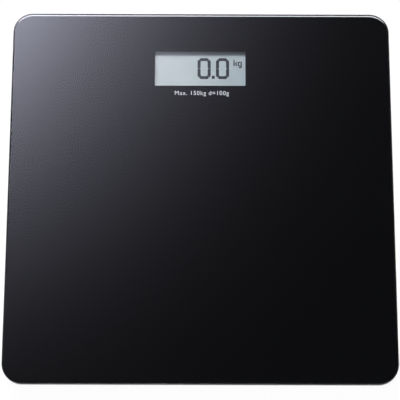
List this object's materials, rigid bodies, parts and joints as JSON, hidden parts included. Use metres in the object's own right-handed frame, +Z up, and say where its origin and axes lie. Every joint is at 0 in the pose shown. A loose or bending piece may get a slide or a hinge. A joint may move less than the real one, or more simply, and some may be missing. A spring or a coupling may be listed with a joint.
{
  "type": "digital bathroom scale",
  "caption": "Flat square glass bathroom scale with round load-cell feet, a small digital display near its far edge and a battery door and unit button underneath.",
  "frame": {"origin": "on the floor, under the middle of the glass platform, with the soles' undersides at z = 0", "axes": "+Z up through the platform; +Y towards the end with the display; +X to the right of someone who stands on the scale and reads it"},
  "size_m": [0.3, 0.3, 0.022],
  "materials": {
    "clear_glass": "polished tempered glass, pencil-ground polished edges",
    "black_print": "opaque black print bonded to the glass, gloss from above, satin from below",
    "white_print": "white screen print under the glass",
    "black_foam": "closed-cell foam adhesive tape",
    "black_plastic": "spark-eroded moulded ABS",
    "white_plastic": "smooth moulded ABS",
    "grey_rubber": "soft anti-slip rubber, fine matt grain",
    "cell_steel": "stamped nickel-plated spring steel",
    "contact_steel": "nickel-plated steel",
    "gauge_sealant": "white silicone sealant",
    "lcd_glass": "reflective liquid crystal panel, pale grey-blue",
    "lcd_segments": "dark blue-grey liquid crystal segments",
    "board_green": "green solder mask over glass fibre",
    "chip_black": "black epoxy and moulded black plastic",
    "zebra_rubber": "striped conductive silicone rubber",
    "cable_grey": "grey PVC sleeve over three fine cores",
    "lead_red": "red PVC insulation"
  },
  "bodies": {
    "platform": {"glass_platform": "clear_glass", "printed_film": "black_print", "foot_tape_front_left": "black_foam", "foot_housing_front_left": "black_plastic", "cable_duct_front_left": "black_plastic", "sensor_cable_front_left": "cable_grey", "foot_tape_front_right": "black_foam", "foot_housing_front_right": "black_plastic", "cable_duct_front_right": "black_plastic", "sensor_cable_front_right": "cable_grey", "foot_tape_rear_left": "black_foam", "foot_housing_rear_left": "black_plastic", "cable_duct_rear_left": "black_plastic", "sensor_cable_rear_left": "cable_grey", "foot_tape_rear_right": "black_foam", "foot_housing_rear_right": "black_plastic", "cable_duct_rear_right": "black_plastic", "sensor_cable_rear_right": "cable_grey", "display_tape": "black_foam", "display_housing": "black_plastic", "circuit_board": "board_green", "controller_chip": "chip_black", "crystal": "contact_steel", "capacitor": "chip_black", "board_screw_1": "contact_steel", "board_screw_2": "contact_steel", "board_screw_3": "contact_steel", "board_screw_4": "contact_steel", "lcd_front_glass": "lcd_glass", "lcd_rear_glass": "lcd_glass", "zebra_strip": "zebra_rubber", "lcd_holder": "white_plastic", "display_bezel": "black_plastic", "unit_switch": "chip_black", "coin_cell": "contact_steel", "battery_contact_negative": "contact_steel", "battery_contact_positive": "contact_steel", "battery_lead_negative": "chip_black", "battery_lead_positive": "lead_red"},
    "foot_front_left": {"foot_cup_front_left": "black_plastic", "foot_sole_front_left": "grey_rubber", "load_cell_front_left": "cell_steel", "strain_gauge_front_left": "gauge_sealant"},
    "foot_front_right": {"foot_cup_front_right": "black_plastic", "foot_sole_front_right": "grey_rubber", "load_cell_front_right": "cell_steel", "strain_gauge_front_right": "gauge_sealant"},
    "foot_rear_left": {"foot_cup_rear_left": "black_plastic", "foot_sole_rear_left": "grey_rubber", "load_cell_rear_left": "cell_steel", "strain_gauge_rear_left": "gauge_sealant"},
    "foot_rear_right": {"foot_cup_rear_right": "black_plastic", "foot_sole_rear_right": "grey_rubber", "load_cell_rear_right": "cell_steel", "strain_gauge_rear_right": "gauge_sealant"},
    "unit_button_cap": {"unit_button": "white_plastic", "switch_plunger": "white_plastic"},
    "battery_cover": {"battery_door": "black_plastic"}
  },
  "joints": [
    {"name": "foot_travel_front_left", "type": "slide", "parent": "platform", "child": "foot_front_left", "axis": [0, 0, 1], "range_m": [0, 0.0003], "stiffness_N_per_m": 1600000},
    {"name": "foot_travel_front_right", "type": "slide", "parent": "platform", "child": "foot_front_right", "axis": [0, 0, 1], "range_m": [0, 0.0003], "stiffness_N_per_m": 1600000},
    {"name": "foot_travel_rear_left", "type": "slide", "parent": "platform", "child": "foot_rear_left", "axis": [0, 0, 1], "range_m": [0, 0.0003], "stiffness_N_per_m": 1600000},
    {"name": "foot_travel_rear_right", "type": "slide", "parent": "platform", "child": "foot_rear_right", "axis": [0, 0, 1], "range_m": [0, 0.0003], "stiffness_N_per_m": 1600000},
    {"name": "unit_button_press", "type": "slide", "parent": "platform", "child": "unit_button_cap", "axis": [0, 0, 1], "range_m": [0, 0.00025], "stiffness_N_per_m": 6000},
    {"name": "battery_door_hinge", "type": "hinge", "parent": "platform", "child": "battery_cover", "pos_m": [-0.014, 0.075, 0.0044], "axis": [1, 0, 0], "range_deg": [0, 97]}
  ]
}
